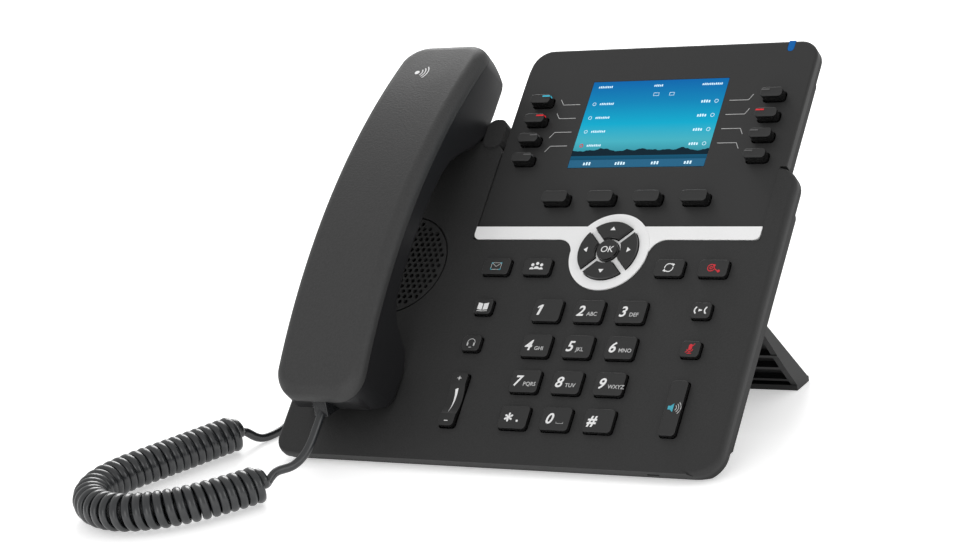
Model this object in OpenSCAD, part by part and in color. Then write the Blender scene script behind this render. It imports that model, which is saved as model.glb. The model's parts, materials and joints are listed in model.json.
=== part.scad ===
// Desk telephone: a sloping base with a keypad and a display, a handset lying on
// its cradle, a curly cord beside it and a leg hinged to its back.
// Millimetres, standing on z = 0, centred on its width and depth.
// The face is drawn flat, x to the right, y up the face and z out of it,
// and on_face() leans it back above the table.

/* [Face] */
// Slope of the face above the table, in degrees
face_angle = 40; // [39.5:0.1:40.5]
// Width of the base
base_w = 235.6; // [235:0.2:237]
// Height up the face of the right shoulder beside the display
shoulder_h = 157.4; // [156.4:0.2:158.4]
// Height up the face of the side that carries the handset
cradle_h = 174; // [172:0.5:175]
// Radius of the base's corners
corner_r = 12; // [10:0.5:14]
// Thickness of the moulded walls
wall = 2.2; // [2:0.1:2.4]
// Depth of the front covers' skirts
skirt = 4.5; // [4.4:0.1:4.8]

/* [Display] */
// Left edge of the display cover
display_x0 = -44.2; // [-44.4:0.1:-44]
// Right edge of the display cover
display_x1 = 110.3; // [110:0.1:110.5]
// Top of the display cover, up the face
display_top = 227.7; // [227:0.1:228]
// How far the display cover lies below the face
display_sink = 0.6; // [0.4:0.1:0.8]
// Width of the lit screen
screen_w = 73.2; // [73:0.1:73.6]
// Height of the lit screen
screen_h = 49.6; // [49.4:0.1:50]

/* [Keys] */
// Spacing of the dial keys across
dial_dx = 22; // [21.8:0.1:22.2]
// Spacing of the dial keys up the face
dial_dy = 18.55; // [18.4:0.05:18.6]
// Gap around each key in its window
key_gap = 0.35; // [0.3:0.05:0.4]
// Height of the keys on the base above the face
low_key = 2.4; // [2:0.1:2.6]
// Height of the keys beside and under the screen
high_key = 4.3; // [4:0.1:4.5]
// Outer radius of the four direction keys
nav_r = 15.2; // [15:0.1:15.4]

/* [Handset] */
// Width of the handset
handset_w = 48; // [47:0.5:49]
// Radius of the long curve of its back
back_r = 345; // [340:1:350]
// Thickness of its top shell
shell_h = 7; // [6.8:0.1:7.2]

/* [Cord] */
// Thickness of the cord
cord_d = 3.6; // [3.4:0.1:3.8]
// Outer diameter of the coiled part
coil_d = 18.4; // [18:0.2:18.6]

/* [Stand] */
// Half of the stand's width
stand_x = 104; // [100:1:104]
// Radius of the hinge pins
pin_r = 2; // [1.8:0.1:2.2]

/* [Hidden] */
$fn = 48;
DIAL = ["1", "2", "3", "4", "5", "6", "7", "8", "9", "star", "0", "hash"];
SIDES = ["left", "right"];
DIRECTIONS = ["right", "up", "left", "down"];

front_clear = 1.8;                               // front edge above the table
face_lift = front_clear + skirt * cos(face_angle);
depth_centre = 84.76;                            // middle of the depth from the front edge
foot_h = 1.2;                                    // thickness of the rubber feet
deep = 60;                                       // longer than any cut it makes

mid_x = 32.3;                                    // centre line of the keypad
dial_top = 78.3;                                 // first dial row up the face
edge_x = 57.1;                                   // outer key columns from the centre line
dial_size = [14.8, 11.6];
wide_size = [14.6, 8.8];
small_size = [9.6, 8];
tall_size = [8.2, 27.4];
rocker_c = [mid_x - edge_x, 30.5];
line_size = [11, 5];
soft_size = [13.6, 6];
ok_r = 5.35;
key_depth = 4.3;                                 // underside of the keys below the face
rocker_z = -3.6;                                 // volume rocker's axle
axle_r = 0.9;

bar_y0 = 117.8;                                  // trim bar, lower and upper edge
bar_y1 = 124.8;
nav_c = [32.3, 111];
ring_r = 20.4;
fillet_r = 8.2;
fillet_x = ring_r + fillet_r;
nav_inner = 6.9;
nav_slot = 3.2;                                  // gap between two direction keys
screen_c = [31.4, 182.9];
shoulder_x = 107.2;                              // inner edge of the shoulder
speaker_c = [-82.5, 103.2];
speaker_r = 27.4;

handset_x = -81;                                 // middle of the cradle side
arch_y = 98;                                     // highest point of the handset's back
arch_z = 42;
handset_y0 = 14.5;
handset_y1 = 219.5;
ear_y = 193;                                     // earpiece and microphone capsules
mic = [-91, 37];
plunger = [-81, 36];
plunger_r = 4.5;
plug_z = 19.5;                                   // middle of the handset's plug
plug_w = 3.8;                                    // half of the plugs' width and height
plug_h = 3.2;
plug_gap = 0.3;
horn_w = 10.8;                                   // horns each side of the earpiece
horn_x = [-111, -51.2];
screw_r = 1.55;
cover_bottom = -7;                               // back of the rear cover's rim
board_z = -7.4;
hinge = [90, -31];                               // stand's pivot up the face and behind it
lug_x = [-84, -26, 26, 84];
jack_y = 60;                                     // handset socket in the left side
jack_z = -18.9;
headset_y = jack_y + 16;                         // headset socket above it
socket_y = 120;                                  // row of sockets in the back
wall_hole_x = [-45, 45];                         // holes that hang it on a wall
wall_hole_y = 140;

// left, bottom, right, top and depth of each hollow box behind the face
HOUSINGS = [[-108, 6, 108, 150, 26], [-108, 100, -50, 180, 16], [-40, 110, 104.5, 218, 18]];
// centre x, width and height of each socket in the back: two network, one power
SOCKETS = [[-20, 16, 14], [8, 16, 14], [34, 11, 12]];
// x, y, depth of the housing and height of the cover each case screw pulls on
SCREWS = [[-101, 40, 26, -wall], [101, 40, 26, -wall], [-101, 140, 26, -wall],
    [101, 140, 26, -display_sink - wall], [-28, 205, 18, -display_sink - wall],
    [88, 205, 18, -display_sink - wall]];

KEYS = concat(
    [for (i = [0 : 11]) [str("dial_key_", DIAL[i]), mid_x + (i % 3 - 1) * dial_dx,
        dial_top - floor(i / 3) * dial_dy, dial_size, low_key, 0]],
    [["message_key", mid_x - edge_x, 101.7, wide_size, low_key, 0],
     ["conference_key", mid_x - edge_x + 22.3, 101.7, wide_size, low_key, 0],
     ["redial_key", mid_x + edge_x - 22.3, 101.7, wide_size, low_key, 0],
     ["release_key", mid_x + edge_x, 101.7, wide_size, low_key, 0],
     ["phonebook_key", mid_x - edge_x, 79.8, small_size, low_key, 0],
     ["headset_key", mid_x - edge_x, 60.1, small_size, low_key, 0],
     ["transfer_key", mid_x + edge_x, 79.8, small_size, low_key, 0],
     ["mute_key", mid_x + edge_x, 60.1, small_size, low_key, 0],
     ["speaker_key", mid_x + edge_x, 30.5, tall_size, low_key, 0]],
    [for (s = [0, 1]) for (i = [0 : 3]) [str("line_key_", SIDES[s], "_", i + 1),
        s == 0 ? -29.6 : 94.6, 195.7 - i * 11.25, line_size, high_key, display_sink]],
    [for (i = [0 : 3]) [str("soft_key_", i + 1), -4.2 + i * 24.65, 139.4, soft_size,
        high_key, display_sink]]);

// middle line of the coiled cord, lying on the table beside the base
coil_z = coil_d / 2;
COIL_ROUTE = [[-88, -127, coil_z], [-98, -142, coil_z], [-110, -156, coil_z],
    [-124, -166, coil_z], [-140, -171, coil_z], [-156, -168, coil_z], [-168, -158, coil_z],
    [-173, -144, coil_z], [-170, -128, coil_z], [-163, -113, coil_z], [-156, -98, coil_z],
    [-149, -83, coil_z], [-143, -71, coil_z]];
// cord from the handset down to the coil
HANDSET_ROUTE = [[-81, -87.6, 28.3], [-81, -94, 23], [-81, -100, 18], [-82, -106, 13.5],
    [-84, -112, 11], [-86, -117, 11], [-88, -121, 12], [-91, -124.8, 14]];
// cord from the socket in the base's left side down to the table and along it
BASE_ROUTE = [[-117, -26.7, 29.3], [-122, -26.7, 29], [-128, -29, 25], [-132, -33, 17],
    [-134, -39, 8], [-135, -46, 3], [-136, -53, 1.9], [-137, -59, 1.9], [-140, -65, 2.5],
    [-143.2, -70.9, 5]];

// ---- helpers ----

// leans what is drawn flat on the face back above the table
module on_face() {
    translate([0, -depth_centre, face_lift]) rotate([face_angle, 0, 0]) children();
}

// extrudes a flat outline from one height above the face to another
module between(z0, z1) {
    translate([0, 0, z0]) linear_extrude(z1 - z0) children();
}

// extrudes an outline drawn as (up the face, out of it) along x
module along_x(x0, x1) {
    translate([x0, 0, 0]) rotate([90, 0, 90]) linear_extrude(x1 - x0) children();
}

module rounded(x0, y0, x1, y1, r) {
    translate([x0 + r, y0]) square([x1 - x0 - 2 * r, y1 - y0]);
    translate([x0, y0 + r]) square([x1 - x0, y1 - y0 - 2 * r]);
    for (x = [x0 + r, x1 - r]) for (y = [y0 + r, y1 - r]) translate([x, y]) circle(r);
}

module rect(x0, y0, x1, y1) {
    translate([x0, y0]) square([x1 - x0, y1 - y0]);
}

module key_shape(size, grow = 0, r = 1.8) {
    w = size[0] / 2 + grow;
    h = size[1] / 2 + grow;
    rounded(-w, -h, w, h, r);
}

module at_key(k) {
    translate([k[1], k[2]]) children();
}

// everything under the table and as far above it as h
module below(h) {
    translate([-200, -200, -100]) cube([400, 400, 100 + h]);
}

// boss for a case screw under a front cover
module cover_bosses(top) {
    for (p = SCREWS) if (p[3] == top) between(-skirt, top) translate([p[0], p[1]])
        difference() {
            circle(3.4);
            circle(screw_r + 0.05);
        }
}

// ---- outlines of the covers, drawn in by i ----

module base_outline(i) {
    difference() {
        union() {
            rounded(-base_w / 2 + i, i, base_w / 2 - i, shoulder_h - i, corner_r - i);
            rounded(-base_w / 2 + i, i, display_x0 - 0.2 - i, cradle_h - i, corner_r - i - 3);
        }
        rect(display_x0 - 0.2 - i, bar_y0 - i, shoulder_x + i, display_top);
    }
}

module display_outline(i) {
    rounded(display_x0 + i, bar_y1 + 40, display_x1 - i, display_top - i, 10.5 - i);
    rect(display_x0 + i, bar_y1 + 50, display_x1 - i, display_top - 12);
    rect(display_x0 + i, shoulder_h + 0.2 + i, display_x1 - i, display_top - 12);
    rect(display_x0 + i, bar_y1 + i, shoulder_x - 0.2 - i, shoulder_h + 5);
}

module rear_outline() {
    rounded(-base_w / 2, 0, base_w / 2, shoulder_h, corner_r);
    rounded(-base_w / 2 + 3, 0.5, -46, 187, 9);
    rounded(display_x0, 150, display_x1, display_top, 10.5);
    rect(display_x0, 140, shoulder_x, 190);
}

module trim_outline(grow) {
    difference() {
        union() {
            rect(display_x0 + 4 - grow, bar_y0 - grow, shoulder_x - 3 + grow, bar_y1 + grow);
            rounded(display_x0 - grow, bar_y0 - grow, shoulder_x + grow, bar_y1 + grow, 3.3);
            rect(display_x0 - grow, bar_y1 - 4, shoulder_x + grow, bar_y1 + grow);
            translate(nav_c) circle(ring_r + grow);
            rect(nav_c[0] - fillet_x, bar_y0 - 6 - grow, nav_c[0] + fillet_x, bar_y0);
        }
        // fillets from the ring to the bar
        for (s = [-1, 1]) translate([nav_c[0] + s * fillet_x, bar_y0 - fillet_r])
            circle(fillet_r - grow);
    }
}

// quarter of the direction ring, between two slots
module nav_sector(turn, grow = 0) {
    translate(nav_c) rotate(turn) difference() {
        intersection() {
            circle(nav_r + grow);
            rotate(-45) square([60, 60]);
        }
        circle(nav_inner - grow);
        for (a = [-45, 45]) rotate(a) translate([0, -nav_slot / 2 + grow])
            square([60, nav_slot - 2 * grow]);
    }
}

module nav_windows() {
    for (t = [0 : 90 : 270]) nav_sector(t, key_gap);
    translate(nav_c) circle(ok_r + key_gap);
}

// ---- covers ----

module grille_holes() {
    translate(speaker_c) {
        circle(1.3);
        for (ring = [1 : 5]) for (i = [0 : 6 * ring - 1])
            rotate(i * 60 / ring) translate([ring * 4.7, 0]) circle(1.3, $fn = 16);
    }
}

module base_front_cover() {
    color("#454545") on_face() difference() {
        union() {
            between(-wall, 0) base_outline(0);
            between(-skirt, -wall) difference() {
                base_outline(0);
                base_outline(wall);
                translate(nav_c) circle(18.4);
            }
            between(-wall, -1.2) intersection() {
                rect(display_x0 - 0.2, bar_y0 - 1, shoulder_x, bar_y1 + 8);
                trim_outline(0);
            }
            cover_bosses(-wall);
            // tray and horns that the earpiece lies between
            between(-skirt, -skirt + 1.6) rounded(-112, cradle_h - 6, -47, 186, 8);
            for (x = horn_x) between(-skirt, 1)
                rounded(x - horn_w / 2, cradle_h - 4, x + horn_w / 2, 186, 4.5);
            // ears that carry the volume rocker's axle
            for (s = [-1, 1]) along_x(rocker_c[0] + s * 5.5 - 0.6, rocker_c[0] + s * 5.5 + 0.6)
                difference() {
                    rect(rocker_c[1] - 1.9, rocker_z - 1.9, rocker_c[1] + 1.9, -wall);
                    translate([rocker_c[1], rocker_z]) circle(axle_r + 0.05);
                }
        }
        between(-1.2, 1) trim_outline(0.15);
        for (k = KEYS) if (k[5] == 0) between(-deep, deep) at_key(k) key_shape(k[3], key_gap);
        between(-deep, deep) nav_windows();
        between(-wall - 0.1, 1) translate(rocker_c) key_shape(tall_size, key_gap + 0.2);
        between(-deep, deep) translate(plunger) circle(plunger_r + 0.4);
        between(-deep, deep) grille_holes();
        between(-0.8, 1) translate(speaker_c) difference() {
            circle(speaker_r);
            circle(speaker_r - 0.9);
        }
        // microphone slot in the lower edge
        between(-3.4, -2.4) rect(83, -1, 89, 5);
    }
}

module display_front_cover() {
    color("#434343") on_face() difference() {
        union() {
            between(-display_sink - wall, -display_sink) display_outline(0);
            between(-skirt, -display_sink - wall) difference() {
                display_outline(0);
                display_outline(wall);
            }
            cover_bosses(-display_sink - wall);
        }
        between(-deep, deep) translate(nav_c) circle(ring_r + 0.2);
        between(-deep, deep) translate(screen_c) square([screen_w, screen_h], center = true);
        for (k = KEYS) if (k[5] > 0) between(-deep, deep) at_key(k) key_shape(k[3], key_gap);
        between(-2.4, deep) rounded(93.8, 221.6, 97.4, 240, 1.7);
    }
}

module rear_cover() {
    color("#3d3d3d") difference() {
        on_face() difference() {
            union() {
                between(cover_bottom, -skirt) rear_outline();
                for (b = HOUSINGS) between(-b[4], -skirt - 0.5) rounded(b[0], b[1], b[2], b[3], 6);
                for (x = lug_x) along_x(x - 2.5, x + 2.5) {
                    translate(hinge) circle(4.6);
                    rect(hinge[0] - 4.6, hinge[1], hinge[0] + 4.6, -25);
                }
            }
            difference() {
                for (b = HOUSINGS) between(-b[4] + wall, 1)
                    rounded(b[0] + wall, b[1] + wall, b[2] - wall, b[3] - wall, 4);
                // bosses for the case screws
                for (p = SCREWS) between(-deep, 0) translate([p[0], p[1]]) circle(3.6);
                // posts behind the board
                for (x = [-20, 60]) between(-deep, board_z - 1.6) translate([x, 90]) circle(3);
            }
            for (p = SCREWS) translate([p[0], p[1]]) {
                between(-deep, 0) circle(screw_r + 0.05);
                between(-deep, -p[2] + 3) circle(3.2);
            }
            for (x = lug_x) along_x(x - 4, x + 4) translate(hinge) circle(pin_r + 0.06);
            for (s = SOCKETS) between(-deep, -20)
                translate([s[0], socket_y]) square([s[1] + 0.4, s[2] + 0.4], center = true);
            for (y = [jack_y, headset_y]) between(-23.6, -14.2)
                rect(-110, y - 5.2, -100, y + 5.2);
            // cooling slots in the step below the display
            for (i = [0 : 8]) between(-20, -10) rect(-20 + 10 * i, 210, -16 + 10 * i, 220);
            for (x = wall_hole_x) between(-deep, -20) translate([x, wall_hole_y]) circle(2.2);
        }
        below(foot_h);
    }
    color("#3d3d3d") rear_floor();
}

// sloping floor that closes the housing over the feet
module rear_floor() {
    intersection() {
        on_face() between(-26, -skirt - 0.5) rounded(-108, 6, 108, 60, 6);
        difference() {
            below(foot_h + wall);
            below(foot_h);
        }
    }
}

module screws() {
    color("#9a9a9a") on_face() for (p = SCREWS) translate([p[0], p[1]]) {
        between(-p[2] + 1, -p[2] + 3) difference() {
            circle(2.9);
            circle(1.2, $fn = 6);
        }
        between(-p[2] + 3, p[3] - 0.2) circle(screw_r);
    }
}

module nav_trim() {
    color("#f2f2f2") on_face() difference() {
        union() {
            between(-1.2, 0.3) intersection() {
                trim_outline(0);
                rect(display_x0, 80, shoulder_x - 0.1, bar_y1);
            }
            between(-1.2, 0.6) translate(nav_c) circle(ring_r);
        }
        between(-deep, deep) nav_windows();
    }
}

module lcd_module() {
    color("#0a6fb4") on_face() {
        between(-display_sink - wall, -display_sink - 0.2) translate(screen_c)
            square([screen_w - 0.2, screen_h - 0.2], center = true);
        between(-6.2, -display_sink - wall) translate(screen_c)
            square([screen_w + 7, screen_h + 7], center = true);
    }
}

module indicator_light() {
    color("#0069b5") on_face() intersection() {
        between(-2.4, -display_sink + 0.1) rounded(93.9, 221.7, 97.3, 235, 1.65);
        between(-2.4, 1) rect(90, 215, 100, display_top);
    }
}

module speaker_driver() {
    color("#222222") on_face() translate([speaker_c[0], speaker_c[1], 0]) {
        between(-4.4, -wall) difference() {
            circle(26);
            circle(22);
        }
        rotate_extrude() polygon([[0, -9], [8, -9], [23, -4.2], [23, -5.6], [9, -12], [9, -19],
            [0, -19]]);
    }
}

module main_board() {
    color("#1d5c36") on_face() difference() {
        union() {
            between(board_z - 1.6, board_z) {
                rect(-48, 14, 104, 122);
                rect(-36, 100, 100, 214);
                rect(-104, 20, -40, 68);
                rect(-104, 60, -86, 82);
            }
            for (s = SOCKETS) between(-25.9, board_z - 1) translate([s[0], socket_y])
                square([s[1], s[2]], center = true);
            for (y = [jack_y, headset_y]) between(-23.5, board_z - 1)
                rect(-105.4, y - 5, -88, y + 5);
            // switch under the plunger
            between(board_z - 0.2, board_z + 0.4) translate(plunger) circle(3);
        }
        for (i = [0, 1]) between(-deep, -12) translate([SOCKETS[i][0], socket_y])
            square([11.8, 8.6], center = true);
        between(-deep, -14) translate([SOCKETS[2][0], socket_y]) difference() {
            circle(3);
            circle(1);
        }
        for (y = [jack_y, headset_y]) between(jack_z - 3.5, jack_z + 3.5)
            rect(-110, y - 4, -92, y + 4);
        for (p = SCREWS) between(-deep, 0) translate([p[0], p[1]]) circle(4.2);
    }
}

module key_mat() {
    color("#6c6f72") on_face() difference() {
        between(board_z, board_z + 1) {
            rect(-38, 14, 104, 118);
            rect(-36, 100, 100, 214);
        }
        between(-deep, deep) translate(screen_c) square([screen_w + 8, screen_h + 8], center = true);
        for (p = SCREWS) between(-deep, 0) translate([p[0], p[1]]) circle(4.2);
    }
}

module rubber_feet() {
    color("#1c1c1c") for (s = [-1, 1]) translate([s * 84, 20 - depth_centre, 0])
        linear_extrude(foot_h) rounded(-14, -6, 14, 6, 4);
}

module hook_plunger() {
    color("#2b2b2b") on_face() translate([plunger[0], plunger[1], 0]) {
        between(-6.8, 0.1) circle(plunger_r);
        between(-6.8, -5.5) circle(plunger_r + 1.4);
    }
}

// ---- stand ----

module stand_rail() {
    polygon([[87.6, -31], [92.4, -31], [94.3, -84], [84.8, -84], [85.4, -62]]);
}

module desk_stand() {
    color("#2f2f2f") difference() {
        union() {
            on_face() {
                for (x = [-stand_x, stand_x - 3]) along_x(x, x + 3) stand_rail();
                along_x(-stand_x, stand_x) rect(89.2, -84, 91.6, -40);
                for (x = [-70, -35, 0, 35, 70]) along_x(x - 1, x + 1)
                    polygon([[88, -40], [91, -40], [91, -84], [85.4, -84], [85.4, -62]]);
                for (z = [-72, -61, -50]) along_x(-stand_x, stand_x) rect(86, z - 1, 90, z + 1);
                along_x(-stand_x, stand_x) translate(hinge) circle(pin_r);
                for (x = [-55, 0, 55]) along_x(x - 22, x + 22) stand_knuckle();
                for (s = [-1, 1]) along_x(s * 97 - 7, s * 97 + 7) stand_knuckle();
            }
            translate([-stand_x, 113 - depth_centre, 0]) cube([2 * stand_x, 13, 2.6]);
        }
        below(0);
    }
}

module stand_knuckle() {
    translate(hinge) circle(3.4);
    rect(88.4, -41, 92, -31);
}

// ---- keys ----

module key(k) {
    color("#3b3b3b") on_face() at_key(k) {
        between(-key_depth, k[4]) key_shape(k[3]);
        between(-key_depth, -k[5] - wall - 0.3) key_shape(k[3], 1.2);
    }
}

module nav_key(turn) {
    color("#3b3b3b") on_face() {
        between(-key_depth, low_key) nav_sector(turn);
        between(-key_depth, -wall - 0.3) translate(nav_c) rotate(turn) intersection() {
            difference() {
                circle(nav_r + 1.6);
                circle(nav_r - 1);
            }
            rotate(-45) square([60, 60]);
            rect(3, -9, 60, 9);
        }
    }
}

module ok_key() {
    color("#3b3b3b") on_face() translate([nav_c[0], nav_c[1], 0]) {
        between(-key_depth, low_key + 0.5) circle(ok_r);
        between(-key_depth, -wall - 0.3) circle(ok_r + 0.9);
    }
}

module volume_rocker() {
    color("#3b3b3b") on_face() translate([rocker_c[0], rocker_c[1], 0]) difference() {
        union() {
            between(-key_depth, low_key) key_shape(tall_size);
            along_x(-5.9, 5.9) translate([0, rocker_z]) circle(axle_r);
        }
        // scoop between the two ends
        along_x(-10, 10) translate([0, low_key + 18.4]) circle(20, $fn = 96);
    }
}

// ---- handset ----

module handset_plan(i) {
    rounded(handset_x - handset_w / 2 + i, handset_y0 + i, handset_x + handset_w / 2 - i,
        handset_y1 - i, 13 - i);
}

module back_curve(i) {
    translate([arch_y, arch_z - back_r]) circle(back_r - i, $fn = 400);
}

// underside of the handset: mouthpiece, grip and earpiece, as (up the face, out of it)
UNDERSIDE = [[10, 60], [14.5, 26], [18, 12], [25, 3], [30, 0.5], [45, 0.5], [52, 4], [56, 12],
    [61, 19], [70, 23.3], [84, 24.8], [98, 25.3], [112, 25], [126, 24], [140, 22], [150, 18.5],
    [159, 12], [168, 4], [178, -1.4], [190, -2.5], [202, -2.5], [208, 0], [214, 9], [220, 22],
    [224, 60]];

// the outline drawn in by d, each corner along the middle of its two sides
function unit(v) = v / norm(v);
function side(p, i) = unit(p[(i + 1) % len(p)] - p[i]);
function inner_normal(u) = [-u[1], u[0]];
function drawn_in(p, d) = [for (i = [0 : len(p) - 1])
    let (a = inner_normal(side(p, (i + len(p) - 1) % len(p))), b = inner_normal(side(p, i)))
    p[i] + d * (a + b) / (1 + a * b)];

module handset_top_shell() {
    color("#4a4a4a") on_face() difference() {
        intersection() {
            between(0, 60) handset_plan(0);
            along_x(-120, -40) difference() {
                back_curve(0);
                back_curve(shell_h);
            }
        }
        intersection() {
            between(0, 60) handset_plan(wall);
            along_x(-120, -40) back_curve(wall);
        }
    }
}

module handset_bottom_shell() {
    color("#3f3f3f") on_face() difference() {
        intersection() {
            between(-10, 60) handset_plan(0);
            along_x(-120, -40) intersection() {
                back_curve(shell_h);
                polygon(UNDERSIDE);
            }
        }
        intersection() {
            between(-10, 60) handset_plan(wall);
            along_x(-120, -40) polygon(drawn_in(UNDERSIDE, wall));
        }
        // socket for the cord's plug
        between(plug_z - plug_h - plug_gap, plug_z + plug_h + plug_gap)
            rect(handset_x - plug_w - plug_gap, 10, handset_x + plug_w + plug_gap, 27);
        for (a = [0 : 45 : 315]) between(-6, 2)
            translate([handset_x + 5 * cos(a), ear_y + 5 * sin(a)]) circle(1.1);
        between(-6, 8) translate(mic) circle(1);
    }
}

module handset_capsules() {
    color("#1f1f1f") on_face() {
        between(0.4, 6) translate([handset_x, ear_y]) circle(8);
        between(2.8, 7) translate(mic) circle(4.5);
    }
}

// ---- cord ----

function across(t) = unit(cross([0, 0, 1], t));
function ring_of(p, t, r, sides) = [for (i = [0 : sides - 1])
    let (a = 360 * i / sides, h = across(t), v = cross(t, h)) p + r * (cos(a) * h + sin(a) * v)];
function heading(r, i) = unit(r[min(i + 1, len(r) - 1)] - r[max(i - 1, 0)]);

// tube of sides flat faces along a route, closed at both ends
module tube(route, r, sides) {
    n = len(route);
    points = [for (i = [0 : n - 1]) each ring_of(route[i], heading(route, i), r, sides)];
    walls = [for (i = [0 : n - 2]) for (j = [0 : sides - 1])
        let (a = i * sides + j, b = i * sides + (j + 1) % sides)
        each [[a, a + sides, b + sides], [a, b + sides, b]]];
    ends = [[for (j = [0 : sides - 1]) j],
        [for (j = [sides - 1 : -1 : 0]) (n - 1) * sides + j]];
    polyhedron(points, concat(walls, ends));
}

module cord_coil() {
    color("#2c2e30") tube(COIL_ROUTE, coil_d / 2, 12);
}

module handset_cord_tail() {
    color("#2c2e30") tube(HANDSET_ROUTE, cord_d / 2, 8);
}

module base_cord_tail() {
    color("#2c2e30") tube(BASE_ROUTE, cord_d / 2, 8);
}

module handset_plug() {
    color("#2c2e30") on_face() between(plug_z - plug_h, plug_z + plug_h)
        rect(handset_x - plug_w, 13, handset_x + plug_w, 26);
}

module base_plug() {
    color("#2c2e30") on_face() between(jack_z - plug_h, jack_z + plug_h)
        rect(-117, jack_y - plug_w, -93, jack_y + plug_w);
}

// ---- parts ----

base_front_cover();
rear_cover();
display_front_cover();
lcd_module();
nav_trim();
indicator_light();
speaker_driver();
main_board();
key_mat();
desk_stand();
rubber_feet();
screws();
hook_plunger();
handset_top_shell();
handset_bottom_shell();
handset_capsules();
cord_coil();
handset_cord_tail();
base_cord_tail();
handset_plug();
base_plug();
ok_key();
volume_rocker();
for (i = [0 : 3]) nav_key(90 * i);
for (k = KEYS) key(k);
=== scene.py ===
"""The looks of a corded desk telephone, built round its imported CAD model.

Pieces are modelled in millimetres on the telephone's own face: x to the right, v up the face and n out
of it. place() then lays each finished mesh on the sloping face, in metres.
"""
import json
import logging
import math
from contextlib import contextmanager
from dataclasses import dataclass, field
from enum import Enum
from functools import cache
from typing import Callable, Iterator, Sequence

import bmesh
import bpy
import numpy as np
from mathutils import Matrix, Vector


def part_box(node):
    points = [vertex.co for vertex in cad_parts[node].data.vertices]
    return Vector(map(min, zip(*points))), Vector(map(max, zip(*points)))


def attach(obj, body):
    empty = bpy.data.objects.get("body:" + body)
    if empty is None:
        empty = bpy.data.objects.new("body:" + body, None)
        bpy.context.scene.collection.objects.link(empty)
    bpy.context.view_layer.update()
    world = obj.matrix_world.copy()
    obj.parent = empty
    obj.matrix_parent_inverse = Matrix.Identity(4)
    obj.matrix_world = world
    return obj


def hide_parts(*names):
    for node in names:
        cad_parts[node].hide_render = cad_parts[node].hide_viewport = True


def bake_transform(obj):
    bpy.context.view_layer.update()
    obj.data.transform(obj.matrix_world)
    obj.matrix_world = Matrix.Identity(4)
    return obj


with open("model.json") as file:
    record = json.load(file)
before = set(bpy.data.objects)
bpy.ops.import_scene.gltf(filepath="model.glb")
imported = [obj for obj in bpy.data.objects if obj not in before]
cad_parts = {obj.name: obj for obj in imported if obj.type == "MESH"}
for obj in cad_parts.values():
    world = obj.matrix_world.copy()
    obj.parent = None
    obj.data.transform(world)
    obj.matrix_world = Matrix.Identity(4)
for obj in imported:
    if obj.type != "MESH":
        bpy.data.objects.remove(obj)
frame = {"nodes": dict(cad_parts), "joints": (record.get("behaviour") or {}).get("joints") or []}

LOG = logging.getLogger("telephone")
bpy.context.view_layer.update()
MM = 0.001
SKIRT = 4.5
# edges flatter than this belong to a curved face and are not rounded
SHARP_EDGE = math.radians(30)
# width in millimetres of the broad patches over which a surface's roughness drifts, and by how much
HANDLING_PATCH = 30
ROUGHNESS_DRIFT = 0.05
SLOPE = math.atan2(-frame["joints"][0]["axis"][1], frame["joints"][0]["axis"][2])
COVER_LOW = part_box("base_front_cover")[0]
FACE = (
    Matrix.Translation((0, COVER_LOW.y, COVER_LOW.z + SKIRT * MM * math.cos(SLOPE)))
    @ Matrix.Rotation(SLOPE, 4, "X")
    @ Matrix.Scale(MM, 4)
)
Point = tuple[float, float]
Object = bpy.types.Object


# ---- modelling ----


class Element(Enum):
    """What an edit-mode operator works on."""

    EDGES = 1
    FACES = 2


def only(piece: Object) -> None:
    """Selects one object and nothing else."""
    bpy.ops.object.select_all(action="DESELECT")
    piece.select_set(True)
    bpy.context.view_layer.objects.active = piece


@cache
def face_box(node: str) -> tuple[Vector, Vector]:
    """Measures a CAD node on the face.

    Args:
        node: The node's name.

    Returns:
        Its lowest and highest corners, in millimetres.
    """
    back = FACE.inverted()
    points = np.array([(back @ v.co)[:] for v in frame["nodes"][node].data.vertices])
    return Vector(points.min(0)), Vector(points.max(0))


@contextmanager
def editing(piece: Object, element: Element, test: Callable[..., bool]) -> Iterator[None]:
    """Opens edit mode with the edges or faces that pass a test selected.

    Args:
        piece: The object to edit.
        element: Whether the test is for edges or faces.
        test: For edges it is given both ends, for faces the centre and the normal.
    """
    only(piece)
    bpy.ops.object.mode_set(mode="EDIT")
    bpy.context.tool_settings.mesh_select_mode = (False, element is Element.EDGES, element is Element.FACES)
    bpy.ops.mesh.select_all(action="DESELECT")
    bpy.ops.object.mode_set(mode="OBJECT")
    mesh = piece.data
    if element is Element.EDGES:
        for e in mesh.edges:
            e.select = test(*(mesh.vertices[i].co for i in e.vertices))
    else:
        for f in mesh.polygons:
            f.select = test(f.center, f.normal)
    bpy.ops.object.mode_set(mode="EDIT")
    yield
    bpy.ops.object.mode_set(mode="OBJECT")


def apply_modifier(piece: Object, kind: str, **settings: object) -> None:
    """Adds a modifier and applies it.

    Args:
        piece: The object to change.
        kind: The modifier's type.
        settings: The modifier's own settings.
    """
    only(piece)
    made = piece.modifiers.new(kind.lower(), kind)
    for name, value in settings.items():
        setattr(made, name, value)
    bpy.ops.object.modifier_apply(modifier=made.name)


def smooth(piece: Object, angle: float = 35) -> None:
    """Shades smooth across edges flatter than the angle, in degrees, and keeps large faces flat."""
    only(piece)
    bpy.ops.object.shade_smooth_by_angle(angle=math.radians(angle))
    apply_modifier(piece, "WEIGHTED_NORMAL", keep_sharp=True)


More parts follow.
